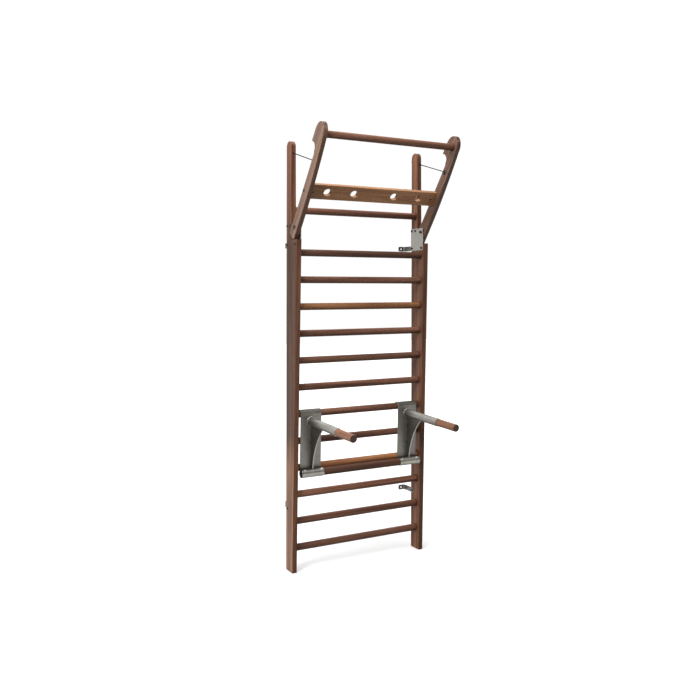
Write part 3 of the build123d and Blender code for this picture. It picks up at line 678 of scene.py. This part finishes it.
def glue_and_shade_material():
    """Dried glue, dark with the oil that runs into it; the same dark ring stands for painted contact
    shade.
    """
    s = Shader("glue_line_and_painted_shade")
    grains = s.noise(s.mapping(), 700, 3.0, 0.6)
    tone = s.mix(s.ramp(grains, ((0.35, 0.0), (0.65, 1.0))), srgb(26, 17, 14), srgb(52, 33, 26))
    s.bump(grains, 0.3, 0.0002)
    s.bsdf.inputs["Specular IOR Level"].default_value = GLUE_AND_SHADE_SHINE
    return s.finish(tone, s.ramp(grains, ((0.3, 0.4), (0.7, 0.6))))


def make_glue_and_shade_rings():
    """The dark bead of dried glue and oil round each bar where it enters the timber, drawn wider as
    painted contact shade: partly real glue, partly painted shade.
    """
    material = glue_and_shade_material()
    proud = 0.0001  # the line of the bead stands this far off the bar and the timber
    for body, (inner, bars) in GLUED_BARS.items():
        shape = bmesh.new()
        for bar in bars:
            centre = middle(bar)
            radius = (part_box(bar)[1].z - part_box(bar)[0].z) / 2
            for side in (-1, 1):
                ring = []
                for i in range(GLUE_AND_SHADE_RING_POINTS):
                    angle = 2 * math.pi * i / GLUE_AND_SHADE_RING_POINTS
                    offset = Vector((0, math.cos(angle), math.sin(angle))) * (radius + proud)
                    ring.append(Vector((side * (inner - proud), centre.y, centre.z)) + offset)
                weld(shape, ring, BEAD_RADIUS["glue and shade"], closed=True)
        riding_piece(f"{body}_glue_and_shade_rings", shape, material, body)


make_glue_and_shade_rings()


# ---------------------------------------------------------------- studio
FLOOR_HALF = 14.0
PICTURE_WHITE = 1.03  # what the camera sees past the floor


def make_floor():
    """Plain pale floor. It glows a little, more so further out, so that only soft shadows show on it."""
    s = Shader("floor_paper")
    cloud = s.noise(s.mapping(), 0.8, 2.0, 0.5)
    colour = s.ramp(cloud, ((0.3, srgb(236, 236, 236)), (0.7, srgb(240, 240, 240))))
    spread = s.add("ShaderNodeVectorMath", operation="LENGTH")
    s.wire(s.coordinates, spread.inputs[0])
    glow = s.smooth(spread.outputs["Value"], 1.2, 4.0, start=0.24, end=0.80)
    s.bsdf.inputs["Emission Color"].default_value = (1, 1, 1, 1)
    s.wire(glow, s.bsdf.inputs["Emission Strength"])
    material = s.finish(colour, 0.9)
    mesh = bpy.data.meshes.new("floor")
    corners = [(x * FLOOR_HALF, y * FLOOR_HALF, FLOOR_Z) for x, y in ((-1, -1), (1, -1), (1, 1), (-1, 1))]
    mesh.from_pydata(corners, [], [(0, 1, 2, 3)])
    floor = bpy.data.objects.new("floor", mesh)
    floor.data.materials.append(material)
    floor.visible_diffuse = False  # its glow would light the object from below
    bpy.context.scene.collection.objects.link(floor)


def area_light(name, place, target, size, power):
    """A soft box of light that points at a target."""
    data = bpy.data.lights.new(name, "AREA")
    data.shape = "RECTANGLE"
    data.size, data.size_y = size
    data.energy = power
    light = bpy.data.objects.new(name, data)
    light.location = place
    light.rotation_euler = (Vector(target) - Vector(place)).to_track_quat("-Z", "Y").to_euler()
    bpy.context.scene.collection.objects.link(light)


def make_world():
    """White studio: bright behind and overhead, dim in front and below, plain white in the picture."""
    world = bpy.data.worlds.new("studio")
    bpy.context.scene.world = world
    world.use_nodes = True
    g = Graph(world.node_tree)
    direction = g.split(g.add("ShaderNodeTexCoord").outputs["Generated"])
    rear = g.smooth(direction["Y"], -0.2, 0.5, start=0.22, end=1.0)
    overhead = g.smooth(direction["Z"], 0.2, 0.8, start=0.0, end=0.7)
    low = g.smooth(direction["Z"], -0.4, 0.1, start=0.20, end=1.0)
    studio = g.math("MULTIPLY", g.math("MAXIMUM", rear, overhead), low)
    in_picture = g.add("ShaderNodeLightPath").outputs["Is Camera Ray"]
    strength = g.math("MAXIMUM", studio, g.math("MULTIPLY", in_picture, PICTURE_WHITE))
    background = world.node_tree.nodes["Background"]
    background.inputs["Color"].default_value = (1, 1, 1, 1)
    g.wire(strength, background.inputs["Strength"])


def make_light():
    """A large key light from the front left, a smaller one overhead, and plain display colours."""
    area_light("key", place=(-3.3, -1.7, 2.3), target=(0, 0, 0.1), size=(2.2, 2.2), power=150)
    area_light("top", place=(-0.3, -0.5, 3.0), target=(0, -0.3, 0), size=(1.6, 1.6), power=70)
    bpy.context.scene.view_settings.view_transform = "Standard"


make_floor()
make_world()
make_light()
